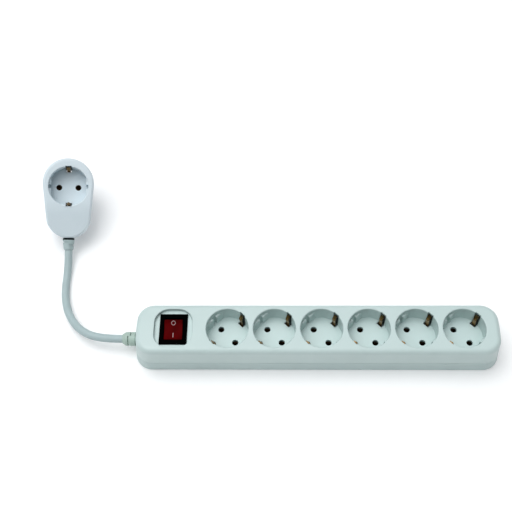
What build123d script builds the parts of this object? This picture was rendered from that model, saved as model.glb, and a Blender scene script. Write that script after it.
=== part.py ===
from build123d import *
import math
import os

os.makedirs("parts", exist_ok=True)

# A six-way switched power strip with a short lead and a pass-through plug, in millimetres.
# The strip lies along X on the plane Z = 0, centred on the origin, with its switch and cord at -X.

# ---- driving dimensions of the strip ----
LENGTH, WIDTH, HEIGHT = 338.0, 50.0, 40.0        # its length is that of the joint
CORNER_R, END_BOW = 16.0, 2.0
END_FLARE, SIDE_TAPER = 4.5, 0.4    # down its height each end slopes out and each side leans in
TOP_FILLET, BOTTOM_FILLET = 5.0, 1.5
WALL, TOP_WALL, FLOOR_WALL = 2.2, 2.2, 2.0
PARTING_Z = 16.0            # joint between the top cover and the base
SEAM = 0.35                 # chamfer each side of that joint

# ---- sockets ----
SOCKETS = 6
PITCH = 43.3
SOCKET_1_X = -82.3
RECESS_R, RECESS_DEPTH, RIM_R = 19.45, 17.5, 1.0
CUP_WALL, CUP_FLOOR = 1.55, 2.5
PIN_SPACING, PIN_R, PIN_HOLE_R, PIN_LENGTH = 19.0, 2.4, 2.95, 19.0
PIN_ROOT_R = 2.7   # the pin where it passes the insert's floor
GUIDE_FLAT = 17.0           # distance of the guide blocks' faces from the socket's centre
GUIDE_SLOT_W, GUIDE_SLOT_D = 4.0, 2.4
GUIDE_DROP = 3.6            # the guide blocks stop this far below the rim
CLIP_W, CLIP_T, CLIP_DIMPLE_R = 3.6, 0.8, 1.5
CLIP_FOOT, CLIP_BULGE = 17.0, 16.2                       # distances of the earth clips from the axis
CLIP_SLOT_W, CLIP_SLOT_IN, CLIP_SLOT_OUT = 6.2, 15.6, 21.5
RIM_NOTCH_OUT = 20.25       # the clip's slot runs out through the rim as a shallow notch
HOLE_ANGLE = 135.0          # direction of the pin holes on the strip, from +X
SOCKET_XS = [SOCKET_1_X + PITCH * i for i in range(SOCKETS)]

# ---- busbars ----
BAR_T, TAB_T, TAB_GAP, TAB_W, TAB_TOP = 0.7, 0.7, 5.0, 6.0, 17.0
PIN_Y = PIN_SPACING / 2 * math.sin(math.radians(HOLE_ANGLE))

# ---- switch ----
SWITCH_X = -132.1
POCKET_X, POCKET_Y, POCKET_R, POCKET_DEPTH = 35.3, 38.6, 13.5, 3.8
POCKET_FLOOR_R, POCKET_LIP_R = 0.8, 0.7
BEZEL_X, BEZEL_Y, BEZEL_T, BEZEL_R = 25.7, 30.7, 1.4, 0.6
BODY_X, BODY_Y, BODY_BOTTOM, BODY_WALL = 21.6, 26.4, 12.7, 1.6
ROCKER_W, ROCKER_R, ROCKER_TOP_ANGLE = 16.8, 10.8, 34.0
ROCKER_VALLEY, ROCKER_HOLLOW, ROCKER_GAP = 4.9, 3.2, 0.3
ROCKER_THROW = 20.0         # the rocker rests pressed at its near side, half a throw from level
PIVOT_Z = 32.5
TRUNNION_R, TRUNNION_GAP = 1.5, 0.06
LEVER_Z, LEVER_REST, LEVER_T, POLE_X = 21.3, -8.0, 0.8, 4.4
LEVER_RIB_R, LEVER_ENDS = 0.55, (-9.6, 8.8)     # the longer arm balances the contact
BLADE_LOW, BLADE_W, BLADE_T, OUT_BLADE_Y = 9.5, 4.8, 0.8, 7.4
PLUNGER_REACH, PLUNGER_R = 10.55, 1.5
LAMP_Y, LAMP_Z, LAMP_R = -9.0, 17.1, 1.8

# ---- cord ----
CORD_D = 7.6
GLAND_Z, GLAND_END = 16.0, 13.0   # height of the cord's exit, and how far its sleeve stands out
GLAND_R, NECK_R, GLAND_GAP = 6.6, 5.2, 0.9
CORD_START_X = -150.0
WIRE_R = 1.2

# ---- plug, in its own frame: +Z out of its front socket, -Y along the cord, Z = 0 at its flange ----
PLUG_AT, PLUG_TILT, PLUG_ROLL = (-250.0, 161.75, 33.02), 30.0, 12.5
PLUG_HEAD_R, PLUG_HEAD_Y, PLUG_TAIL_Y, PLUG_FRONT = 25.0, 3.0, -51.5, 26.0
PLUG_NECK_Y, PLUG_TAPER, PLUG_CORNER_R = -35.5, 5.5, 12.0
PLUG_SLOPE_Y, PLUG_SLOPE, PLUG_SLOPE_R = -22.0, 12.3, 60.0   # its front falls away towards the cord
PLUG_SPLIT = 13.0           # its two shells meet here, on the cord's axis
INSERT_R, INSERT_DEPTH, INSERT_FLAT = 18.6, 17.5, 16.7
SLEEVE_END_Y, SLEEVE_R, SLEEVE_GAP = -63.5, 5.9, 1.8
PLUG_PLACE = Pos(*PLUG_AT) * Rot(PLUG_TILT, 0, 0) * Rot(0, PLUG_ROLL, 0)

HOUSING_SCREWS = [(x, y) for x, y in ((-110, 17), (25.95, 17), (158, 9))]
HOUSING_SCREWS += [(x, -y) for x, y in HOUSING_SCREWS]
KEYHOLES = (-104.0, 156.0)
CLAMP_X, CLAMP_SCREW_Y = -155.0, 7.5
PLUG_SCREWS = ((13.5, -27.0), (-13.5, -27.0))
PLUG_CLAMP_Y, PLUG_CLAMP_X = -40.0, 6.2

parts = {}


# ---- shape helpers ----
def span(x, y, z):
    """A box from three (low, high) pairs."""
    size = [b - a for a, b in (x, y, z)]
    return Pos(*[(a + b) / 2 for a, b in (x, y, z)]) * Box(*size)


def rod(radius, low, high, x=0.0, y=0.0):
    """An upright cylinder between two heights."""
    return Pos(x, y, (low + high) / 2) * Cylinder(radius, high - low)


def rod_x(radius, low, high, y=0.0, z=0.0):
    """A cylinder along X between two places."""
    return Pos((low + high) / 2, y, z) * Rot(0, 90, 0) * Cylinder(radius, high - low)


def rod_y(radius, low, high, x=0.0, z=0.0):
    """A cylinder along Y between two places."""
    return Pos(x, (low + high) / 2, z) * Rot(90, 0, 0) * Cylinder(radius, high - low)


def sheet_strip(points, radius, thickness, width):
    """Bent strip metal: a centreline of (u, z) points in the XZ plane, given a width along Y."""
    path = FilletPolyline(*points, radius=radius)
    return extrude(Plane.XZ * trace(path, thickness), width / 2, both=True)


def wire(points, radius=WIRE_R, bend=4.0):
    """A round wire along points, with arcs at its corners."""
    path = FilletPolyline(*points, radius=bend)
    return sweep(Plane(path @ 0, z_dir=path % 0) * Circle(radius), path)


def plan(inset, z):
    """The strip's outline at one height, with large corners and slightly bowed ends."""
    half_l = LENGTH / 2 - inset - END_FLARE * (z - PARTING_Z) / HEIGHT
    half_w = WIDTH / 2 - inset - SIDE_TAPER * (HEIGHT - z) / HEIGHT
    straight = half_l - END_BOW
    with BuildSketch(Plane.XY.offset(z)) as outline:
        with BuildLine():
            Line((-straight, half_w), (straight, half_w))
            ThreePointArc((straight, half_w), (half_l, 0), (straight, -half_w))
            Line((straight, -half_w), (-straight, -half_w))
            ThreePointArc((-straight, -half_w), (-half_l, 0), (-straight, half_w))
        make_face()
        fillet(outline.vertices(), CORNER_R - inset)
    return outline.sketch.face()


def slab(*levels):
    """The strip's body through (inset, height) levels."""
    return loft([plan(inset, z) for inset, z in levels], ruled=True)


def rocker_turn(degrees):
    """A turn about the rocker's axis."""
    return Pos(SWITCH_X, 0, PIVOT_Z) * Rot(degrees, 0, 0) * Pos(-SWITCH_X, 0, -PIVOT_Z)


# ---- housing of the strip ----
def top_cover():
    shell = slab((SEAM, PARTING_Z), (0, PARTING_Z + SEAM), (0, HEIGHT))
    shell = fillet(shell.faces().sort_by(Axis.Z)[-1].edges(), TOP_FILLET)
    roof_inset = TOP_FILLET - 1.6
    shell -= slab((WALL, PARTING_Z - 1), (WALL, HEIGHT - TOP_FILLET), (roof_inset, HEIGHT - TOP_WALL))
    backing = RectangleRounded(POCKET_X + 2 * WALL, POCKET_Y + 2 * WALL, POCKET_R + WALL)
    pocket_floor = HEIGHT - POCKET_DEPTH
    low = pocket_floor - TOP_WALL
    shell += Pos(SWITCH_X, 0, low) * extrude(backing, HEIGHT - TOP_WALL - low)
    pocket = extrude(RectangleRounded(POCKET_X, POCKET_Y, POCKET_R), POCKET_DEPTH + 1)
    pocket = fillet(pocket.faces().sort_by(Axis.Z)[0].edges(), POCKET_FLOOR_R)
    shell -= Pos(SWITCH_X, 0, pocket_floor) * pocket
    shell -= Pos(SWITCH_X, 0, HEIGHT) * Box(BODY_X + 0.3, BODY_Y + 0.3, 20)
    for x in SOCKET_XS:
        shell -= rod(RECESS_R, HEIGHT - 5, HEIGHT + 1, x)
    for x, y in HOUSING_SCREWS:
        shell += rod(3.4, PARTING_Z, HEIGHT - TOP_WALL, x, y)
        shell -= rod(1.25, PARTING_Z - 1, 31, x, y)
    shell -= rod_x(NECK_R, -LENGTH / 2 - 5, -LENGTH / 2 + 5, z=GLAND_Z)
    at_top = lambda e: abs(e.center().Z - HEIGHT) < 0.01
    rims = shell.edges().filter_by(GeomType.CIRCLE).filter_by(at_top)
    shell = fillet(rims.filter_by(lambda e: abs(e.radius - RECESS_R) < 0.01), RIM_R)
    near_switch = lambda e: abs(e.center().X - SWITCH_X) < POCKET_X / 2 + 1 and abs(e.center().Y) < 20
    shell = fillet(shell.edges().filter_by(at_top).filter_by(near_switch), POCKET_LIP_R)
    for x in SOCKET_XS:
        shell -= Pos(x, 0, 0) * Rot(0, 0, HOLE_ANGLE) * rim_notches(HEIGHT)
    return shell


def base_shell():
    shell = slab((0, 0), (0, PARTING_Z - SEAM), (SEAM, PARTING_Z))
    shell = fillet(shell.faces().sort_by(Axis.Z)[0].edges(), BOTTOM_FILLET)
    shell -= slab((WALL, FLOOR_WALL), (WALL, PARTING_Z + 1))
    for x, y in HOUSING_SCREWS:
        shell += rod(4.2, FLOOR_WALL, PARTING_Z, x, y)
        shell -= rod(1.7, -1, PARTING_Z + 1, x, y) + rod(3.1, -1, 3.0, x, y)
    for y, top in ((0, 12.0), (11.4, 8.0), (-11.4, 8.0)):
        shell += span((SOCKET_XS[0] - 2, SOCKET_XS[-1] + 11), (y - 0.6, y + 0.6), (FLOOR_WALL, top))
    for x in KEYHOLES:
        shell += span((x - 10.5, x + 5.7), (-5.6, 5.6), (FLOOR_WALL, FLOOR_WALL + 5))
        shell -= rod(4.3, -1, FLOOR_WALL + 3.8, x)
        shell -= span((x - 9, x), (-2.2, 2.2), (-1, FLOOR_WALL + 0.1))
        shell -= span((x - 9.2, x), (-4.3, 4.3), (FLOOR_WALL, FLOOR_WALL + 3.8))
    saddle = span((CLAMP_X - 4, CLAMP_X + 4), (-11, 11), (FLOOR_WALL, GLAND_Z - 0.6))
    shell += saddle - rod_x(CORD_D / 2, CLAMP_X - 5, CLAMP_X + 5, z=GLAND_Z)
    for y in (-CLAMP_SCREW_Y, CLAMP_SCREW_Y):
        shell -= rod(1.25, 5, PARTING_Z, CLAMP_X, y)
    return shell - rod_x(NECK_R, -LENGTH / 2 - 5, -LENGTH / 2 + 5, z=GLAND_Z)


def housing_screws():
    one = rod(2.9, 1.2, 3.0) + rod(1.25, 3.0, 30)
    one -= Pos(0, 0, 1.2) * (Box(4, 0.8, 1.6) + Box(0.8, 4, 1.6))
    return Compound([Pos(x, y, 0) * one for x, y in HOUSING_SCREWS])


# ---- sockets ----
def both_sides(x, y, z):
    """A box on each side of the axis, mirrored in Y."""
    return span(x, y, z) + span(x, (-y[1], -y[0]), z)


def rim_notches(top_z):
    """The shallow notches by which the clip slots run out through a rim, pin holes along X."""
    half_w = CLIP_SLOT_W / 2
    return both_sides((-half_w, half_w), (CLIP_SLOT_IN, RIM_NOTCH_OUT), (top_z - TOP_WALL - 1, top_z + 1))


def recess(floor_z, top_z, cup_low):
    """A socket cup about the origin, its pin holes along X: wall, floor, guide blocks and clip slots."""
    cup = rod(RECESS_R + CUP_WALL, cup_low, top_z) - rod(RECESS_R, floor_z, top_z + 1)
    guide_top = top_z - GUIDE_DROP
    guides = rod(RECESS_R, floor_z - 0.5, guide_top) - Box(2 * GUIDE_FLAT, 60, 200)
    guides -= Box(2 * (GUIDE_FLAT + GUIDE_SLOT_D), GUIDE_SLOT_W, 200)
    at_top = lambda e: abs(e.center().Z - guide_top) < 0.01
    front = lambda e: abs(abs(e.center().X) - GUIDE_FLAT) < 0.01
    cup += fillet(guides.edges().filter_by(at_top).filter_by(front), 1.6)
    for side in (1, -1):
        cup -= rod(PIN_HOLE_R, cup_low - 1, floor_z + 1, side * PIN_SPACING / 2)
    return cup


def clip_slots(low, high):
    """The openings for the earth clips, through a cup's floor and up through its wall."""
    half_w = CLIP_SLOT_W / 2
    return both_sides((-half_w, half_w), (CLIP_SLOT_IN, CLIP_SLOT_OUT), (low, high))


def earth_bracket(floor_z, cross_z):
    """A strip under the cup whose two dimpled ends rise through it, bow inwards and flare at their tips."""
    bulge_z = floor_z + 10.8
    half = [(CLIP_FOOT, cross_z), (CLIP_FOOT + 0.3, floor_z + 3.0), (CLIP_BULGE + 0.4, bulge_z),
            (CLIP_BULGE + 2.4, floor_z + 15.2)]
    points = [(-u, z) for u, z in reversed(half)] + half
    strip = sheet_strip(points, 0.9, CLIP_T, CLIP_W)
    for side in (1, -1):
        dimple = Pos(side * (CLIP_BULGE + 0.9), 0, bulge_z - 0.2) * Sphere(CLIP_DIMPLE_R)
        strip += dimple
    return Rot(0, 0, 90) * strip


CUP_TOP = HEIGHT - TOP_WALL
RECESS_FLOOR = HEIGHT - RECESS_DEPTH
CUP_BOTTOM = RECESS_FLOOR - CUP_FLOOR
BRACKET_Z = CUP_BOTTOM - CLIP_T / 2


def socket_insert(x):
    cup = recess(RECESS_FLOOR, CUP_TOP, CUP_BOTTOM) - clip_slots(CUP_BOTTOM - 1, CUP_TOP + 1)
    return Pos(x, 0, 0) * Rot(0, 0, HOLE_ANGLE) * cup


def strip_bracket(x):
    one = earth_bracket(RECESS_FLOOR, BRACKET_Z) - rod(1.0, 0, HEIGHT)
    return Pos(x, 0, 0) * Rot(0, 0, HOLE_ANGLE) * one


def earth_rail():
    low = BRACKET_Z - 1.5 * CLIP_T
    bar = span((SOCKET_XS[0] - 14, SOCKET_XS[-1] + 4), (-2, 2), (low, low + CLIP_T))
    for x in SOCKET_XS:
        bar -= rod(1.0, 0, HEIGHT, x)
    return bar


def earth_rivets():
    top = CUP_BOTTOM
    one = rod(1.0, top - 2 * CLIP_T, top) + rod(1.8, top - 2 * CLIP_T - 0.6, top - 2 * CLIP_T)
    return Compound([Pos(x, 0, 0) * one for x in SOCKET_XS])


def busbar(side):
    """One rail on the base with a pair of upright contact tabs round each pin."""
    y = side * PIN_Y
    xs = [x - side * PIN_Y for x in SOCKET_XS]
    low = FLOOR_WALL
    outer = TAB_GAP / 2 + TAB_T
    bar = span((xs[0] - 8, xs[-1] + 4), (y - outer, y + outer), (low, low + BAR_T))
    for x in xs:
        pair = both_sides((x - TAB_W / 2, x + TAB_W / 2), (TAB_GAP / 2, outer), (low, TAB_TOP))
        bar += Pos(0, y, 0) * pair
    return bar


# ---- switch ----
def about_switch(half_x, half_y, z):
    """A box centred on the switch."""
    return span((SWITCH_X - half_x, SWITCH_X + half_x), (-half_y, half_y), z)


def switch_housing():
    top = HEIGHT - POCKET_DEPTH
    bezel = Pos(SWITCH_X, 0, top) * extrude(RectangleRounded(BEZEL_X, BEZEL_Y, BEZEL_R), BEZEL_T)
    bezel = fillet(bezel.faces().sort_by(Axis.Z)[-1].edges(), 0.4)
    body = about_switch(BODY_X / 2, BODY_Y / 2, (BODY_BOTTOM, top))
    half_w, half_l = ROCKER_W / 2 + ROCKER_GAP, ROCKER_R + ROCKER_GAP
    shell = bezel + body - about_switch(half_w, half_l, (BODY_BOTTOM + BODY_WALL, HEIGHT + 5))
    pins = ROCKER_W / 2 + 1.6
    shell -= rod_x(TRUNNION_R + TRUNNION_GAP, SWITCH_X - pins, SWITCH_X + pins, z=PIVOT_Z)
    for blade in terminal_blades():
        shell -= blade
    return shell


def on_circle(radius, degrees):
    """A place on a circle about the origin."""
    angle = math.radians(degrees)
    return radius * math.cos(angle), radius * math.sin(angle)


def rocker_level():
    """The rocker at mid throw: a curved-ended block with a shallow valley, hollow beneath."""
    crest, foot = on_circle(ROCKER_R, ROCKER_TOP_ANGLE), on_circle(ROCKER_R, -4)
    mid = on_circle(ROCKER_R, (ROCKER_TOP_ANGLE - 4) / 2)
    dip = (crest[0] / 2, (crest[1] + ROCKER_VALLEY) / 2 - 0.35)
    mirrored = lambda p: (-p[0], p[1])
    with BuildSketch(Plane.YZ) as side:
        with BuildLine():
            ThreePointArc(foot, mid, crest)
            ThreePointArc(crest, dip, (0, ROCKER_VALLEY))
            ThreePointArc((0, ROCKER_VALLEY), mirrored(dip), mirrored(crest))
            ThreePointArc(mirrored(crest), mirrored(mid), mirrored(foot))
            Line(mirrored(foot), foot)
        make_face()
    block = extrude(side.sketch, ROCKER_W / 2, both=True)
    above = lambda z: lambda e: e.center().Z > z
    crests = block.edges().filter_by(Axis.X).filter_by(above(ROCKER_VALLEY + 0.5))
    block = fillet(crests, 0.6)
    sides = block.edges().filter_by(above(crest[1] / 2 + 1.5)).filter_by(lambda e: abs(e.center().X) > 1)
    block = fillet(sides, 0.4)
    block -= Box(ROCKER_W - 2.6, 2 * ROCKER_R - 4.2, 2 * ROCKER_HOLLOW)
    for x in (-POLE_X, POLE_X):
        guide = rod(PLUNGER_R + 0.8, -4.6, 4.0, x) - rod(PLUNGER_R + 0.05, -4.7, 2.6, x)
        block += guide
    outer, inner = ROCKER_W / 2 + 1.4, ROCKER_W / 2 - 1.0
    block += rod_x(TRUNNION_R, -outer, -inner) + rod_x(TRUNNION_R, inner, outer)
    return Pos(SWITCH_X, 0, PIVOT_Z) * block


def at_poles(shape, z):
    """The shape at both of the switch's poles."""
    return [Pos(SWITCH_X + x, 0, z) * shape for x in (-POLE_X, POLE_X)]


def plungers_level():
    one = rod(PLUNGER_R, 1.0 - PLUNGER_REACH, -2.4)
    one += Pos(0, 0, PLUNGER_R - PLUNGER_REACH) * Sphere(PLUNGER_R)
    return at_poles(one, PIVOT_Z)


def springs_level():
    coil = Helix(1.25, 4.4, 1.15, center=(0, 0, -2.15))
    one = sweep(Plane(coil @ 0, z_dir=coil % 0) * Circle(0.17), coil, is_frenet=True)
    return at_poles(one, PIVOT_Z)


def contact_levers():
    """Rocking bars, each with a round rib on its axis and a contact under its far arm."""
    half_t = LEVER_T / 2
    lever = span((-1.9, 1.9), LEVER_ENDS, (-half_t, half_t)) + rod(1.3, -1.0, -half_t, 0, OUT_BLADE_Y)
    lever += rod_x(LEVER_RIB_R, -1.9, 1.9)
    return Compound(at_poles(Rot(LEVER_REST, 0, 0) * lever, LEVER_Z))


def terminal_blades():
    """The blades that pass through the switch's floor, two for each pole."""
    blades = []
    for x in (SWITCH_X - POLE_X, SWITCH_X + POLE_X):
        width = (x - BLADE_W / 2, x + BLADE_W / 2)
        for y, top in ((0, LEVER_Z - LEVER_RIB_R - 0.1), (OUT_BLADE_Y, LEVER_Z - 3.0)):
            blades.append(span(width, (y - BLADE_T / 2, y + BLADE_T / 2), (BLADE_LOW, top)))
    return blades


def switch_terminals():
    """The blades, the outer two with a flat contact on top."""
    blades = terminal_blades()
    flat_z = (LEVER_Z - 3.0, LEVER_Z - 2.4)
    for i, x in enumerate((SWITCH_X - POLE_X, SWITCH_X + POLE_X)):
        blades[2 * i + 1] += span((x - 1.9, x + 1.9), (OUT_BLADE_Y - 1.6, OUT_BLADE_Y + 1.6), flat_z)
    return Compound(blades)


def neon_lamp():
    low, high = SWITCH_X - 5, SWITCH_X + 4
    return rod_x(LAMP_R, low, high, LAMP_Y, LAMP_Z) + Pos(high, LAMP_Y, LAMP_Z) * Sphere(LAMP_R)


# ---- cord ----
def plug_point(y, z):
    """A place on the plug's centre plane, in the strip's frame."""
    p = (PLUG_PLACE * Pos(0, y, z)).position
    return (p.X, p.Y, p.Z)


GLAND_X = -LENGTH / 2 - GLAND_END
FLOOR_Z = CORD_D / 2
CORD_ROUTE = [
    plug_point(SLEEVE_END_Y, PLUG_SPLIT),
    (-247.2, 85.7, FLOOR_Z),
    (-247.2, 55.8, FLOOR_Z),
    (-241.0, 32.6, 6.0),
    (-227.1, 12.1, 11.0),
    (-205.5, 0.0, GLAND_Z),
    (GLAND_X, 0.0, GLAND_Z),
]


def corner_radii(points):
    """Each corner's arc: 0.45 of its shorter run, over the tangent of half its turn."""
    radii = []
    for a, b, c in zip(points, points[1:], points[2:]):
        before, after = Vector(*b) - Vector(*a), Vector(*c) - Vector(*b)
        half_turn = math.radians(before.get_angle(after)) / 2
        radii.append(0.45 * min(before.length, after.length) / math.tan(half_turn))
    return radii


def cord():
    radii = corner_radii(CORD_ROUTE)
    path = FilletPolyline(*CORD_ROUTE, radius=radii)
    tube = sweep(Plane(path @ 0, z_dir=path % 0) * Circle(CORD_D / 2), path)
    area = math.pi * CORD_D**2 / 4
    print("cord arcs", [round(r, 1) for r in radii], "length", round(path.length, 1))
    print("cord volume over section times length", round(tube.volume / (area * path.length), 4))
    in_strip = rod_x(CORD_D / 2, GLAND_X, CORD_START_X, z=GLAND_Z)
    in_plug = PLUG_PLACE * rod_y(CORD_D / 2, SLEEVE_END_Y, -36.0, z=PLUG_SPLIT)
    return tube + in_strip + in_plug


def half_slits(places, radius, width):
    """Slits across alternate halves of a sleeve along X, deep but short of its bore."""
    cuts = []
    for i, x in enumerate(places):
        side = (-radius - 1, 0) if i % 2 else (0, radius + 1)
        ring = span((x, x + width), side, (-radius - 1, radius + 1))
        cuts.append(ring - rod_x(CORD_D / 2 + 0.7, x - 1, x + width + 1))
    return cuts


def cord_gland():
    """Strain-relief sleeve: a cone, a slit body, a neck through the wall and a flange inside it."""
    wall_x = -LENGTH / 2
    cone_l = 3.4
    body = rod_x(GLAND_R, GLAND_X + cone_l, wall_x - GLAND_GAP)
    body += Pos(GLAND_X + cone_l / 2, 0, 0) * Rot(0, 90, 0) * Cone(4.6, GLAND_R, cone_l)
    body += rod_x(NECK_R, wall_x - GLAND_GAP - 0.1, wall_x + 3.2) + rod_x(7.0, wall_x + 3.2, wall_x + 5.0)
    for cut in half_slits((wall_x - 5.6, wall_x - 8.0), GLAND_R, 1.1):
        body -= cut
    return Pos(0, 0, GLAND_Z) * (body - rod_x(CORD_D / 2, GLAND_X - 1, wall_x + 9))


def cord_clamp():
    bar = span((CLAMP_X - 4, CLAMP_X + 4), (-11, 11), (GLAND_Z + 0.6, GLAND_Z + 5.4))
    bar = fillet(bar.faces().sort_by(Axis.Z)[-1].edges(), 1.0)
    for y in (-CLAMP_SCREW_Y, CLAMP_SCREW_Y):
        bar -= rod(1.6, 0, HEIGHT, CLAMP_X, y)
    return bar - rod_x(CORD_D / 2, CLAMP_X - 5, CLAMP_X + 5, z=GLAND_Z)


def clamp_screws():
    top = GLAND_Z + 5.4
    one = rod(1.25, 6, top) + rod(2.7, top, top + 1.8) - Pos(0, 0, top + 1.8) * Box(6, 0.7, 1.4)
    return Compound([Pos(CLAMP_X, y, 0) * one for y in (-CLAMP_SCREW_Y, CLAMP_SCREW_Y)])


def pole_wires(side):
    """One conductor from the cord to the switch, and on from the switch to its busbar."""
    x = SWITCH_X + side * POLE_X
    y, z = side * 2.2, GLAND_Z - 0.4
    feed_z, floor_z = BLADE_LOW - 2.3, FLOOR_WALL + WIRE_R + 0.2
    feed = wire([(CORD_START_X, y, z), (-147, y, z), (-144, side * 5, 11.2), (x - 6, side * 4, feed_z),
                 (x, 0, feed_z), (x, 0, BLADE_LOW)], bend=1.1)
    rail_x = SOCKET_XS[0] - side * PIN_Y - 6
    out = wire([(x, OUT_BLADE_Y, BLADE_LOW), (x, OUT_BLADE_Y, floor_z), (x + 4, side * 10, floor_z),
                (-106, side * 10, floor_z), (rail_x - 7, side * 9, FLOOR_WALL + BAR_T + WIRE_R),
                (rail_x, side * PIN_Y, FLOOR_WALL + BAR_T + WIRE_R)], bend=1.5)
    return Compound([feed, out])


def earth_wire():
    """From the cord, past the switch, to the underside of the earth rail."""
    z = BRACKET_Z - 1.5 * CLIP_T - WIRE_R
    start_z = GLAND_Z + 2.3
    points = [(CORD_START_X, 0, start_z), (-147, 0, start_z), (-145.5, 8, 17), (-144.5, 17.5, 12),
              (-121, 17.5, 12), (-113, 10.5, 12), (-104, 2, z), (SOCKET_XS[0] - 12, 0, z)]
    return wire(points, bend=1.2)


# ---- plug ----
def plug_outline(inset=0.0):
    """Round head, straight tapering sides and rounded tail, seen from the front, moved in by inset."""
    r, y = PLUG_HEAD_R - inset, PLUG_HEAD_Y
    taper = math.radians(PLUG_TAPER)
    hip = (r * math.cos(taper), y - r * math.sin(taper))
    neck = (hip[0] - math.tan(taper) * (hip[1] - PLUG_NECK_Y), PLUG_NECK_Y)
    with BuildSketch() as face:
        with BuildLine():
            ThreePointArc((-hip[0], hip[1]), (0, y + r), hip)
            Line(hip, neck)
            ThreePointArc(neck, (0, PLUG_TAIL_Y + inset), (-neck[0], neck[1]))
            Line((-neck[0], neck[1]), (-hip[0], hip[1]))
        make_face()
        fillet(face.vertices().filter_by(lambda v: v.Y < PLUG_NECK_Y + 1), PLUG_CORNER_R - inset)
    return face.sketch


def plug_body(inset):
    """The plug's outer body, moved in by inset: full height at the head, lower at the tail."""
    top, far = PLUG_FRONT - inset, -70
    body = extrude(Pos(0, 0, inset) * plug_outline(inset), top - inset)
    low = top - (PLUG_SLOPE_Y - far) * math.tan(math.radians(PLUG_SLOPE))
    with BuildSketch(Plane.YZ) as above:
        with BuildLine():
            FilletPolyline((0, top), (PLUG_SLOPE_Y, top), (far, low), radius=PLUG_SLOPE_R)
            Polyline((far, low), (far, 60), (0, 60), (0, top))
        make_face()
    return body - extrude(above.sketch, 40, both=True)


def cord_bore(radius):
    return rod_y(radius, PLUG_TAIL_Y - 20, -36, z=PLUG_SPLIT)


def plug_front_shell():
    shell = plug_body(0)
    across = lambda e: e.geom_type == GeomType.LINE and abs(e.tangent_at(0.5).X) > 0.99
    outer = lambda e: e.center().Z > PLUG_SPLIT + 2 and not across(e)
    shell = fillet(shell.edges().filter_by(outer), 2.5)
    shell -= plug_body(WALL)
    shell -= Box(200, 200, 2 * PLUG_SPLIT)
    floor = PLUG_FRONT - RECESS_DEPTH
    shell -= rod(RECESS_R + 0.2, 0, PLUG_FRONT + 1)
    cup_low = floor - CUP_FLOOR
    shell += recess(floor, PLUG_FRONT, cup_low)
    rim = shell.edges().filter_by(GeomType.CIRCLE)
    rim = rim.filter_by(lambda e: abs(e.radius - RECESS_R) < 0.01 and abs(e.center().Z - PLUG_FRONT) < 0.01)
    shell = fillet(rim, RIM_R) - rim_notches(PLUG_FRONT) - clip_slots(cup_low - 1, PLUG_FRONT - TOP_WALL)
    for x, y in PLUG_SCREWS:
        shell += rod(3.0, PLUG_SPLIT, 23.3, x, y) - rod(1.25, PLUG_SPLIT - 1, 19.5, x, y)
    return PLUG_PLACE * (shell - cord_bore(4.9))


def plug_rear_shell():
    shell = plug_body(0)
    shell = fillet(shell.faces().sort_by(Axis.Z)[0].edges(), 1.5)
    cavity = extrude(Pos(0, 0, WALL) * plug_outline(WALL), 60)
    shell -= cavity + span((-80, 80), (-80, 80), (PLUG_SPLIT, 80))
    insert = rod(INSERT_R, -INSERT_DEPTH, WALL) & Box(2 * INSERT_FLAT, 80, 80)
    insert += span((-18.4, 18.4), (-1.7, 1.7), (-INSERT_DEPTH, WALL)) & rod(INSERT_R, -INSERT_DEPTH, WALL)
    inner = rod(INSERT_R - 2.0, -INSERT_DEPTH + 2.0, WALL + 1) & Box(2 * (INSERT_FLAT - 2), 80, 80)
    shell -= rod(INSERT_R - 2.0, -1, WALL + 1) & Box(2 * (INSERT_FLAT - 2), 80, 80)
    shell += insert - inner
    for side in (1, -1):
        shell -= span((-2.6, 2.6), sorted((side * 16.4, side * 20)), (-INSERT_DEPTH + 1.2, 0.0))
        shell -= span((-2.6, 2.6), sorted((side * 16.4, side * 18.2)), (-0.1, WALL + 1))
        shell -= rod(PIN_ROOT_R, -INSERT_DEPTH - 1, -INSERT_DEPTH + 3, side * PIN_SPACING / 2)
    for x, y in PLUG_SCREWS:
        shell += rod(3.4, WALL, PLUG_SPLIT, x, y) - rod(1.6, -1, PLUG_SPLIT + 1, x, y)
        shell -= rod(1.6, -1, PLUG_SPLIT + 1, x, y) + rod(2.8, -1, 2.6, x, y)
    for x in (-PLUG_CLAMP_X, PLUG_CLAMP_X):
        shell += rod(2.4, WALL, PLUG_SPLIT + CORD_D / 2, x, PLUG_CLAMP_Y)
        shell -= rod(1.0, 5, 30, x, PLUG_CLAMP_Y)
    shell -= rod_y(CORD_D / 2, PLUG_TAIL_Y - 20, -36, z=PLUG_SPLIT)
    return PLUG_PLACE * (shell - cord_bore(CORD_D / 2) - rod_y(4.9, -70, -46, z=PLUG_SPLIT))


def plug_pins():
    """Solid pins with rounded tips, each with a root in the insert's floor and a collar inside."""
    low = -INSERT_DEPTH - PIN_LENGTH
    one = rod(PIN_R, low + PIN_R, -INSERT_DEPTH) + Pos(0, 0, low + PIN_R) * Sphere(PIN_R)
    one += rod(PIN_ROOT_R, -INSERT_DEPTH, -INSERT_DEPTH + 2.0)
    one += rod(3.3, -INSERT_DEPTH + 2.0, -INSERT_DEPTH + 6.0)
    return PLUG_PLACE * Compound([Pos(s * PIN_SPACING / 2, 0, 0) * one for s in (1, -1)])


def plug_contacts():
    """A split brass sleeve on each pin, under the front socket's holes."""
    low, high = -INSERT_DEPTH + 6.0, PLUG_FRONT - RECESS_DEPTH - CUP_FLOOR - 0.3
    one = rod(3.3, low, high) - rod(2.55, low + 0.6, high + 1)
    one -= span((-5, 5), (-0.5, 0.5), (low + 5, high + 1))
    return PLUG_PLACE * Compound([Pos(s * PIN_SPACING / 2, 0, 0) * one for s in (1, -1)])


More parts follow.
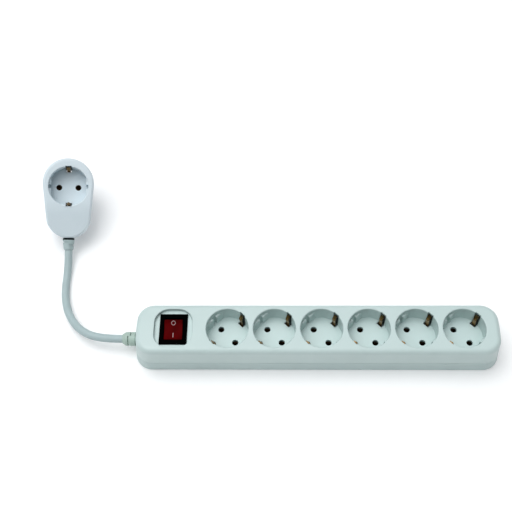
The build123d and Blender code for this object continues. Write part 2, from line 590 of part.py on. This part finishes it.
def plug_earth_bracket():
    """Strip that serves the front socket's clips and, downwards, the insert's side contacts."""
    floor = PLUG_FRONT - RECESS_DEPTH
    cross = floor - CUP_FLOOR - CLIP_T / 2
    strip = earth_bracket(floor, cross)
    for side in (1, -1):
        inner, outer = side * 16.9, side * 17.7
        strip += span((-CLIP_W / 2, CLIP_W / 2), sorted((inner, outer)), (-INSERT_DEPTH + 1.4, cross))
    return PLUG_PLACE * strip


def along_plug(shape):
    """A shape made along X, laid on the plug's cord axis."""
    return PLUG_PLACE * Pos(0, 0, PLUG_SPLIT) * Rot(0, 0, 90) * shape


def plug_sleeve():
    """A neck in the plug's tail, then beyond a gap a tapered sleeve with two half slits."""
    collar_y, tip_l = PLUG_TAIL_Y - SLEEVE_GAP, 1.0
    cone_l = collar_y - SLEEVE_END_Y - tip_l
    body = rod_x(4.9, collar_y, PLUG_TAIL_Y + 4.6)
    body += Pos(collar_y - cone_l / 2, 0, 0) * Rot(0, 90, 0) * Cone(SLEEVE_R - 0.9, SLEEVE_R, cone_l)
    body += Pos(SLEEVE_END_Y + tip_l / 2, 0, 0) * Rot(0, 90, 0) * Cone(4.3, SLEEVE_R - 0.9, tip_l)
    body += rod_x(5.3, PLUG_TAIL_Y + 4.2, PLUG_TAIL_Y + 5.6)
    for cut in half_slits((PLUG_TAIL_Y - 4.4, PLUG_TAIL_Y - 7.4), SLEEVE_R, 0.9):
        body -= cut
    return along_plug(body - rod_x(CORD_D / 2, SLEEVE_END_Y - 1, PLUG_TAIL_Y + 9))


def plug_grommet():
    """A dark ring in the gap between the plug's tail and its sleeve."""
    low, high = PLUG_TAIL_Y - SLEEVE_GAP, PLUG_TAIL_Y - 0.1
    return along_plug(rod_x(SLEEVE_R - 0.1, low, high) - rod_x(4.9, low - 1, high + 1))


def plug_screws():
    one = rod(2.6, 1.0, 2.6) + rod(1.2, 2.6, 19.0)
    one -= Pos(0, 0, 1.0) * (Box(3.6, 0.7, 1.4) + Box(0.7, 3.6, 1.4))
    return PLUG_PLACE * Compound([Pos(x, y, 0) * one for x, y in PLUG_SCREWS])


def plug_clamp():
    low = PLUG_SPLIT + CORD_D / 2
    bar = span((-9, 9), (PLUG_CLAMP_Y - 2.6, PLUG_CLAMP_Y + 2.6), (low, low + 1.4))
    for x in (-PLUG_CLAMP_X, PLUG_CLAMP_X):
        bar -= rod(1.0, 0, 40, x, PLUG_CLAMP_Y)
    return PLUG_PLACE * bar


def plug_clamp_screws():
    low = PLUG_SPLIT + CORD_D / 2 + 1.4
    one = rod(1.0, 6, low) + rod(1.9, low, low + 0.9)
    return PLUG_PLACE * Compound([Pos(x, PLUG_CLAMP_Y, 0) * one for x in (-PLUG_CLAMP_X, PLUG_CLAMP_X)])


def plug_wires():
    """Three conductors from the cord's end to the two pins and the earth strip."""
    wires = []
    for s in (1, -1):
        route = [(s * 2.2, -36, 12.4), (s * 2.2, -33, 12.4), (s * 7, -26, 3.7), (s * 8.5, -11.5, 3.7),
                 (s * 9.5, -9.5, -9.6), (s * 9.5, -3.35, -9.6)]
        wires.append(wire(route, radius=1.1, bend=1.3))
    earth = [(0, -36, 15.3), (0, -33, 15.3), (0, -24, 3.8), (0, -17.75, 3.8)]
    wires.append(wire(earth, radius=1.1, bend=1.5))
    return PLUG_PLACE * Compound(wires)


# ---- build everything ----
parts["top_cover"] = top_cover()
parts["base_shell"] = base_shell()
parts["housing_screws"] = housing_screws()
for number, socket_x in enumerate(SOCKET_XS, 1):
    parts[f"socket_insert_{number}"] = socket_insert(socket_x)
    parts[f"earth_bracket_{number}"] = strip_bracket(socket_x)
parts["earth_rail"] = earth_rail()
parts["earth_rivets"] = earth_rivets()
parts["live_rail"] = busbar(1)
parts["neutral_rail"] = busbar(-1)

half_throw = ROCKER_THROW / 2
parts["switch_housing"] = switch_housing()
parts["rocker"] = rocker_turn(half_throw) * rocker_level()
parts["switch_plungers"] = Compound([rocker_turn(half_throw) * p for p in plungers_level()])
parts["plunger_springs"] = Compound([rocker_turn(half_throw) * s for s in springs_level()])
parts["contact_levers"] = contact_levers()
parts["switch_terminals"] = switch_terminals()
parts["neon_lamp"] = neon_lamp()

parts["cord"] = cord()
parts["cord_gland"] = cord_gland()
parts["cord_clamp"] = cord_clamp()
parts["clamp_screws"] = clamp_screws()
parts["live_wires"] = pole_wires(1)
parts["neutral_wires"] = pole_wires(-1)
parts["earth_wire"] = earth_wire()

parts["plug_front_shell"] = plug_front_shell()
parts["plug_rear_shell"] = plug_rear_shell()
parts["plug_pins"] = plug_pins()
parts["plug_contacts"] = plug_contacts()
parts["plug_earth_bracket"] = plug_earth_bracket()
parts["plug_sleeve"] = plug_sleeve()
parts["plug_grommet"] = plug_grommet()
parts["plug_screws"] = plug_screws()
parts["plug_clamp"] = plug_clamp()
parts["plug_clamp_screws"] = plug_clamp_screws()
parts["plug_wires"] = plug_wires()

for name, shape in parts.items():
    export_step(shape, f"parts/{name}.step")
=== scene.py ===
import math

import bmesh
import bpy
from mathutils import Matrix, Vector
from mathutils.bvhtree import BVHTree


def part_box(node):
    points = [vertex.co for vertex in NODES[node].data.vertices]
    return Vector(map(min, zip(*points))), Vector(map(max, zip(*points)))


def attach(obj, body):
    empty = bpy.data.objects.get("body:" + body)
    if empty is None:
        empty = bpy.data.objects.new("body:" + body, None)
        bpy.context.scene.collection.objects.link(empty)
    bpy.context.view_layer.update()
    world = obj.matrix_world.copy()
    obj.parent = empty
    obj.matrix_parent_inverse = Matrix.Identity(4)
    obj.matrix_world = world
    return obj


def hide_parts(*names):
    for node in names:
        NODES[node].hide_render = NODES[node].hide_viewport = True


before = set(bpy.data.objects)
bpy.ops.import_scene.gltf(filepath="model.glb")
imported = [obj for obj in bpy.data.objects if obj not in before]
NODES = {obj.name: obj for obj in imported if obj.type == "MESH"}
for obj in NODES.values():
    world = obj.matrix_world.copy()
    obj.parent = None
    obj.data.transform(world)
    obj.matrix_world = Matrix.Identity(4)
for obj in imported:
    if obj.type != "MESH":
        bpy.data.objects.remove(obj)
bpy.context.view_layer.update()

MM = 0.001
SCENE = bpy.context.scene

# ---- camera: above and in front of the strip, looking down across its row of sockets ----
CAMERA_AT = (-0.0332, -0.3428, 0.7448)
# in degrees; a tilt of 0 looks straight down
CAMERA_YAW, CAMERA_TILT, CAMERA_ROLL = 3.23, 30.79, -2.88
CAMERA_LENS, SENSOR = 60.0, 36.0


def make_camera():
    data = bpy.data.cameras.new("camera")
    data.lens, data.sensor_width = CAMERA_LENS, SENSOR
    camera = bpy.data.objects.new("camera", data)
    SCENE.collection.objects.link(camera)
    place = Matrix.Translation(CAMERA_AT)
    for degrees, axis in ((CAMERA_YAW, "Z"), (CAMERA_TILT, "X"), (CAMERA_ROLL, "Z")):
        place = place @ Matrix.Rotation(math.radians(degrees), 4, axis)
    camera.matrix_world = place
    SCENE.camera = camera


# ---- the cord: one smooth line along the route of its tube in CAD, from the plug to the gland ----
CORD_D = 7.6 * MM
CORD_ROUTE = [
    (-0.24719, 0.10041, 0.01226),
    (-0.2472, 0.0857, 0.0038),
    (-0.2472, 0.0558, 0.0038),
    (-0.2410, 0.0326, 0.0060),
    (-0.2271, 0.0121, 0.0110),
    (-0.2055, 0.0, 0.0160),
    (-0.1820, 0.0, 0.0160),
]
CORD_LINE_STEPS = 24
CORD_ROUND_STEPS = 12


def make_cord(material):
    curve = bpy.data.curves.new("cord_line", "CURVE")
    curve.dimensions = "3D"
    line = curve.splines.new("NURBS")
    line.points.add(len(CORD_ROUTE) - 1)
    for point, place in zip(line.points, CORD_ROUTE):
        point.co = (*place, 1.0)
    line.order_u = 3
    line.use_endpoint_u = True
    line.resolution_u = CORD_LINE_STEPS
    curve.bevel_depth = CORD_D / 2
    curve.bevel_resolution = CORD_ROUND_STEPS
    curve.use_fill_caps = True
    cord = bpy.data.objects.new("cord_jacket", curve)
    SCENE.collection.objects.link(cord)
    curve.materials.append(material)
    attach(cord, "strip")
    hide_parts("cord")


# ---- materials ----
NOISE_BAND = (0.35, 0.65)       # the part of a noise's range where most of it lies
MOTTLE_DETAIL = 4
POLISH_DETAIL = 5
# how a noise is stretched along X, Y and Z
EVEN = (1, 1, 1)
ROLLED = (1, 1, 9)
TURNED = (1, 1, 8)
BRUSHED = (6, 6, 1)
PLASTIC_IOR = 1.46
RUBBER_IOR = 1.45
GLASS_IOR = 1.45
DULL_IOR = 1.4


def map_range(tree, source, from_range, to_range):
    """Maps a value from one range onto another, and gives the new value's socket."""
    node = tree.nodes.new("ShaderNodeMapRange")
    node.inputs["From Min"].default_value, node.inputs["From Max"].default_value = from_range
    node.inputs["To Min"].default_value, node.inputs["To Max"].default_value = to_range
    tree.links.new(source, node.inputs["Value"])
    return node.outputs["Result"]


class Shader:
    """A Principled material with a few helpers for procedural detail.

    A noise's scale is in features per metre, over the object's own coordinates.
    """

    def __init__(self, name, color, rough, metal=0.0, **inputs):
        self.material = bpy.data.materials.new(name)
        self.material.use_nodes = True
        self.tree = self.material.node_tree
        self.nodes, self.links = self.tree.nodes, self.tree.links
        self.surface = self.nodes["Principled BSDF"]
        self.color = color
        self.surface.inputs["Base Color"].default_value = (*color, 1)
        self.surface.inputs["Roughness"].default_value = rough
        self.surface.inputs["Metallic"].default_value = metal
        for key, value in inputs.items():
            self.surface.inputs[key.replace("_", " ")].default_value = value
        self.place = self.nodes.new("ShaderNodeTexCoord").outputs["Object"]
        self.relief = None

    def noise(self, scale, detail, stretch=EVEN):
        mapping = self.nodes.new("ShaderNodeMapping")
        mapping.inputs["Scale"].default_value = stretch
        self.links.new(self.place, mapping.inputs["Vector"])
        texture = self.nodes.new("ShaderNodeTexNoise")
        texture.inputs["Scale"].default_value = scale
        texture.inputs["Detail"].default_value = detail
        self.links.new(mapping.outputs["Vector"], texture.inputs["Vector"])
        return texture.outputs["Fac"]

    def mottle(self, other, scale):
        """Slow drift between the base colour and another."""
        mix = self.nodes.new("ShaderNodeMix")
        mix.data_type = "RGBA"
        mix.inputs["A"].default_value = (*self.color, 1)
        mix.inputs["B"].default_value = (*other, 1)
        amount = map_range(self.tree, self.noise(scale, MOTTLE_DETAIL), NOISE_BAND, (0, 1))
        self.links.new(amount, mix.inputs["Factor"])
        self.links.new(mix.outputs["Result"], self.surface.inputs["Base Color"])

    def polish(self, low, high, scale, stretch=EVEN):
        """Roughness that varies a little over the surface."""
        value = map_range(self.tree, self.noise(scale, POLISH_DETAIL, stretch), NOISE_BAND, (low, high))
        self.links.new(value, self.surface.inputs["Roughness"])

    def grain(self, scale, distance, strength, detail=2, stretch=EVEN):
        """Fine surface relief, on top of any that is there already; distance is in metres."""
        bump = self.nodes.new("ShaderNodeBump")
        bump.inputs["Strength"].default_value = strength
        bump.inputs["Distance"].default_value = distance
        self.links.new(self.noise(scale, detail, stretch), bump.inputs["Height"])
        if self.relief:
            self.links.new(self.relief, bump.inputs["Normal"])
        self.relief = bump.outputs["Normal"]
        self.links.new(self.relief, self.surface.inputs["Normal"])


WIRE_COLORS = {
    "wire_brown_look": (0.16, 0.06, 0.03),
    "wire_blue_look": (0.03, 0.13, 0.45),
    "wire_green_look": (0.12, 0.4, 0.05),
}
WIRE_SHADE = 0.8


def add_plastics(add):
    cover = add("cover_plastic_look", (0.55, 0.67, 0.655), rough=0.38, IOR=PLASTIC_IOR)
    cover.mottle((0.53, 0.65, 0.635), scale=22)
    cover.polish(0.34, 0.44, scale=90)
    cover.grain(scale=2600, distance=0.00006, strength=0.18)
    cover.grain(scale=30, distance=0.0008, strength=0.05)

    # painted shade: the base shell is a darker copy of the cover's plastic, standing in for the lower front
    # being darker near the floor
    base = add("base_plastic_painted_shade_look", (0.50, 0.62, 0.61), rough=0.42, IOR=PLASTIC_IOR)
    base.mottle((0.48, 0.60, 0.59), scale=22)
    base.polish(0.38, 0.48, scale=90)
    base.grain(scale=2200, distance=0.00008, strength=0.3)

    plug = add("plug_plastic_look", (0.68, 0.765, 0.81), rough=0.38, IOR=PLASTIC_IOR)
    plug.mottle((0.65, 0.745, 0.79), scale=30)
    plug.polish(0.32, 0.44, scale=90)
    plug.grain(scale=2600, distance=0.00006, strength=0.2)

    cord = add("cord_jacket_look", (0.41, 0.51, 0.52), rough=0.5, IOR=RUBBER_IOR)
    cord.mottle((0.38, 0.48, 0.49), scale=60)
    cord.polish(0.44, 0.6, scale=140)
    cord.grain(scale=1300, distance=0.0001, strength=0.35)
    cord.grain(scale=160, distance=0.0006, strength=0.1)

    gland = add("gland_look", (0.37, 0.47, 0.42), rough=0.5, IOR=RUBBER_IOR)
    gland.mottle((0.40, 0.52, 0.46), scale=90)
    gland.grain(scale=1800, distance=0.00008, strength=0.3)

    sleeve = add("sleeve_look", (0.43, 0.53, 0.535), rough=0.5, IOR=RUBBER_IOR)
    sleeve.mottle((0.39, 0.49, 0.495), scale=90)
    sleeve.grain(scale=1800, distance=0.00008, strength=0.3)

    inner = add("inner_plastic_look", (0.8, 0.8, 0.76), rough=0.5)
    inner.mottle((0.75, 0.75, 0.7), scale=80)
    inner.grain(scale=2000, distance=0.00006, strength=0.2)

    for name, color in WIRE_COLORS.items():
        wire = add(name, color, rough=0.45)
        wire.mottle(tuple(WIRE_SHADE * c for c in color), scale=200)
        wire.grain(scale=1500, distance=0.00005, strength=0.3)


def add_switch_looks(add):
    black = add("switch_black_look", (0.001, 0.0012, 0.0012), rough=0.5, IOR=DULL_IOR,
                Specular_IOR_Level=0.0)
    black.polish(0.42, 0.56, scale=300)
    black.grain(scale=3000, distance=0.00005, strength=0.25)

    red = add("rocker_red_look", (0.04, 0.0003, 0.0006), rough=0.3, IOR=DULL_IOR,
              Specular_IOR_Level=0.01)
    red.mottle((0.085, 0.0005, 0.001), scale=90)
    red.grain(scale=900, distance=0.00005, strength=0.15)

    ink = add("rocker_ink_look", (0.45, 0.34, 0.34), rough=0.55)
    ink.mottle((0.36, 0.24, 0.24), scale=900)
    ink.grain(scale=4000, distance=0.00002, strength=0.3)

    lamp = add("lamp_glass_look", (0.95, 0.8, 0.7), rough=0.05, IOR=GLASS_IOR,
               Transmission_Weight=0.9)
    lamp.grain(scale=400, distance=0.00005, strength=0.1)


def add_metals(add):
    brass = add("spring_brass_look", (0.80, 0.58, 0.25), rough=0.26, metal=1.0)
    brass.mottle((0.70, 0.47, 0.18), scale=260)
    brass.polish(0.18, 0.36, scale=500)
    brass.grain(scale=900, distance=0.00005, strength=0.3, detail=3, stretch=ROLLED)

    # painted dark reflection: the earth clips' brass is far darker than real brass, standing in for the
    # dark surroundings the polished clips mirror
    clip = add("clip_brass_painted_dark_look", (0.26, 0.16, 0.06), rough=0.26, metal=1.0)
    clip.mottle((0.16, 0.09, 0.03), scale=300)
    clip.polish(0.18, 0.38, scale=500)
    clip.grain(scale=900, distance=0.00005, strength=0.3, detail=3, stretch=ROLLED)

    # painted shade: the rails' and the plug contacts' brass is made near black so that the pin holes in
    # front of them read dark; only the high roughness is their real dull finish
    dull = add("dull_brass_painted_shade_look", (0.12, 0.07, 0.03), rough=0.5, metal=1.0)
    dull.mottle((0.08, 0.045, 0.02), scale=260)
    dull.polish(0.42, 0.6, scale=500)
    dull.grain(scale=900, distance=0.00005, strength=0.3)

    steel = add("steel_look", (0.6, 0.6, 0.61), rough=0.3, metal=1.0)
    steel.polish(0.24, 0.4, scale=500)
    steel.grain(scale=1500, distance=0.00004, strength=0.3)

    nickel = add("pin_nickel_look", (0.74, 0.72, 0.68), rough=0.2, metal=1.0)
    nickel.polish(0.14, 0.28, scale=300, stretch=TURNED)
    nickel.grain(scale=2500, distance=0.00003, strength=0.2, stretch=BRUSHED)


def make_materials():
    made = {}

    def add(name, *args, **inputs):
        shader = Shader(name, *args, **inputs)
        made[name] = shader.material
        return shader

    add_plastics(add)
    add_switch_looks(add)
    add_metals(add)
    return made


SOCKETS = range(1, 7)

LOOKS = {
    "cover_plastic_look": ["top_cover"] + [f"socket_insert_{i}" for i in SOCKETS],
    # the base shell's darker plastic is painted shade for its lower front
    "base_plastic_painted_shade_look": ["base_shell"],
    "plug_plastic_look": ["plug_front_shell", "plug_rear_shell"],
    "gland_look": ["cord_gland"],
    "sleeve_look": ["plug_sleeve"],
    # painted shade: the plug's grommet takes the switch's black, a black ring standing in for the shadow in
    # the narrow gap at the sleeve's neck
    "switch_black_look": ["switch_housing", "plug_grommet"],
    "rocker_red_look": ["rocker"],
    "spring_brass_look": ["contact_levers", "switch_terminals"],
    # the earth clips' near-black brass is a painted dark reflection
    "clip_brass_painted_dark_look": [f"earth_bracket_{i}" for i in SOCKETS] + ["plug_earth_bracket", "earth_rail"],
    # the rails' and plug contacts' near-black brass is painted shade in the pin holes
    "dull_brass_painted_shade_look": ["live_rail", "neutral_rail", "plug_contacts"],
    "steel_look": ["housing_screws", "clamp_screws", "earth_rivets", "plunger_springs", "plug_screws",
                   "plug_clamp_screws"],
    "pin_nickel_look": ["plug_pins"],
    "inner_plastic_look": ["switch_plungers", "cord_clamp", "plug_clamp"],
    "lamp_glass_look": ["neon_lamp"],
    "wire_brown_look": ["live_wires", "plug_wires"],
    "wire_blue_look": ["neutral_wires"],
    "wire_green_look": ["earth_wire"],
}


def dress_nodes(materials):
    """Gives every CAD node its material."""
    for look, names in LOOKS.items():
        for name in names:
            for slot in NODES[name].material_slots:
                slot.material = materials[look]


# ---- the rocker's off and on marks, printed on its two faces ----
PRINT_LIFT = 0.02 * MM
PRINT_THICKNESS = 0.03 * MM
ABOVE_ALL = 0.1
OFF_Y, ON_Y = 5.4 * MM, -5.9 * MM
# the ring's inner edge, middle and outer edge, in mm
RING_RADII = (1.5, 1.72, 1.95)
RING_STEPS = 48
# half the bar's width and length where its print starts, and how far each outline lies outside that, in mm
BAR_HALF_X, BAR_HALF_Y = 0.02, 1.9
BAR_MARGINS = (0.0, 0.15, 0.3)
BAR_END_STEPS = 12


def surface_of(node):
    """A ray-casting tree of a CAD node."""
    mesh = NODES[node].data
    corners = [vertex.co.copy() for vertex in mesh.vertices]
    faces = [tuple(polygon.vertices) for polygon in mesh.polygons]
    return BVHTree.FromPolygons(corners, faces)


def print_mark(name, outlines, tree, material):
    """A thin print: quads between outlines of (x, y) points, dropped onto the surface below."""
    shape = bmesh.new()
    rings = []
    for outline in outlines:
        verts = []
        for x, y in outline:
            hit, normal, _, _ = tree.ray_cast(Vector((x, y, ABOVE_ALL)), Vector((0, 0, -1)))
            verts.append(shape.verts.new(hit + normal * PRINT_LIFT))
        rings.append(verts)
    count = len(rings[0])
    for inner, outer in zip(rings, rings[1:]):
        for i in range(count):
            j = (i + 1) % count
            shape.faces.new((inner[i], outer[i], outer[j], inner[j]))
    bmesh.ops.recalc_face_normals(shape, faces=shape.faces)
    mesh = bpy.data.meshes.new(name)
    shape.to_mesh(mesh)
    shape.free()
    piece = bpy.data.objects.new(name, mesh)
    SCENE.collection.objects.link(piece)
    solid = piece.modifiers.new("thickness", "SOLIDIFY")
    solid.thickness, solid.offset = PRINT_THICKNESS, 0
    mesh.materials.append(material)
    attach(piece, "rocker")


def ring_points(cx, cy, radius):
    points = []
    for i in range(RING_STEPS):
        angle = 2 * math.pi * i / RING_STEPS
        points.append((cx + radius * math.cos(angle), cy + radius * math.sin(angle)))
    return points


def bar_points(cx, cy, half_x, half_y):
    """A rounded bar's outline: two half circles joined by its straight sides."""
    points = []
    for end, start in ((1, 0), (-1, math.pi)):
        center_y = cy + end * (half_y - half_x)
        for i in range(BAR_END_STEPS + 1):
            angle = start + math.pi * i / BAR_END_STEPS
            points.append((cx + half_x * math.cos(angle), center_y + half_x * math.sin(angle)))
    return points


def make_marks(material):
    rocker_low, rocker_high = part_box("rocker")
    x = (rocker_low[0] + rocker_high[0]) / 2
    tree = surface_of("rocker")
    rings = [ring_points(x, OFF_Y, radius * MM) for radius in RING_RADII]
    print_mark("rocker_off_mark", rings, tree, material)
    bars = [bar_points(x, ON_Y, (BAR_HALF_X + more) * MM, (BAR_HALF_Y + more) * MM) for more in BAR_MARGINS]
    print_mark("rocker_on_mark", bars, tree, material)


# ---- floor: a plain pale surface ----
FLOOR_SIZE = 20
FLOOR_Z = -0.0002
FLOOR_COLOR = (0.93, 0.93, 0.93)
FLOOR_OTHER_COLOR = (0.92, 0.92, 0.925)
FLOOR_GLOW = 0.14           # a faint glow of its own, which keeps it pale far from the lamp


def make_floor():
    bpy.ops.mesh.primitive_plane_add(size=FLOOR_SIZE, location=(0, 0, FLOOR_Z))
    floor = bpy.context.object
    floor.name = "floor"
    look = Shader("floor_look", FLOOR_COLOR, rough=0.9)
    look.mottle(FLOOR_OTHER_COLOR, scale=2)
    look.surface.inputs["Emission Color"].default_value = (1, 1, 1, 1)
    look.surface.inputs["Emission Strength"].default_value = FLOOR_GLOW
    floor.data.materials.append(look.material)


# ---- light: a soft sky, brightest overhead and pale at the horizon, and one large lamp above ----
SKY_COLOR = (0.96, 0.98, 1.0, 1)
SKY_BRIGHTEST = (-0.2, 0.1, 0.97)
# how nearly a direction points at the brightest place, and the sky's strength there
FADE_FROM, FADE_TO = (0.4, 1.0), (0.04, 1.5)
# how high a direction points, and the least strength of the sky there
HORIZON_FROM, HORIZON_TO = (0.04, 0.12), (0.8, 0.0)
LAMP_AT = (-0.5, 0.25, 1.95)
LAMP_AIM = (0, 0.03, 0)
LAMP_SIZE = (1.4, 1.2)
LAMP_POWER = 16


def make_sky():
    world = bpy.data.worlds.new("studio")
    SCENE.world = world
    world.use_nodes = True
    tree = world.node_tree
    sky = tree.nodes["Background"]
    sky.inputs["Color"].default_value = SKY_COLOR
    direction = tree.nodes.new("ShaderNodeTexCoord").outputs["Generated"]
    toward = tree.nodes.new("ShaderNodeVectorMath")
    toward.operation = "DOT_PRODUCT"
    toward.inputs[1].default_value = SKY_BRIGHTEST
    tree.links.new(direction, toward.inputs[0])
    height = tree.nodes.new("ShaderNodeSeparateXYZ")
    tree.links.new(direction, height.inputs["Vector"])
    brighter = tree.nodes.new("ShaderNodeMath")
    brighter.operation = "MAXIMUM"
    overhead = map_range(tree, toward.outputs["Value"], FADE_FROM, FADE_TO)
    horizon = map_range(tree, height.outputs["Z"], HORIZON_FROM, HORIZON_TO)
    tree.links.new(overhead, brighter.inputs[0])
    tree.links.new(horizon, brighter.inputs[1])
    tree.links.new(brighter.outputs["Value"], sky.inputs["Strength"])


def make_lamp():
    data = bpy.data.lights.new("key", "AREA")
    data.shape, data.energy = "RECTANGLE", LAMP_POWER
    data.size, data.size_y = LAMP_SIZE
    lamp = bpy.data.objects.new("key", data)
    SCENE.collection.objects.link(lamp)
    lamp.location = LAMP_AT
    lamp.rotation_mode = "QUATERNION"
    lamp.rotation_quaternion = (Vector(LAMP_AIM) - Vector(LAMP_AT)).to_track_quat("-Z", "Y")


SCENE.view_settings.view_transform = "Standard"
make_camera()
looks = make_materials()
make_cord(looks["cord_jacket_look"])
dress_nodes(looks)
make_marks(looks["rocker_ink_look"])
make_floor()
make_sky()
make_lamp()
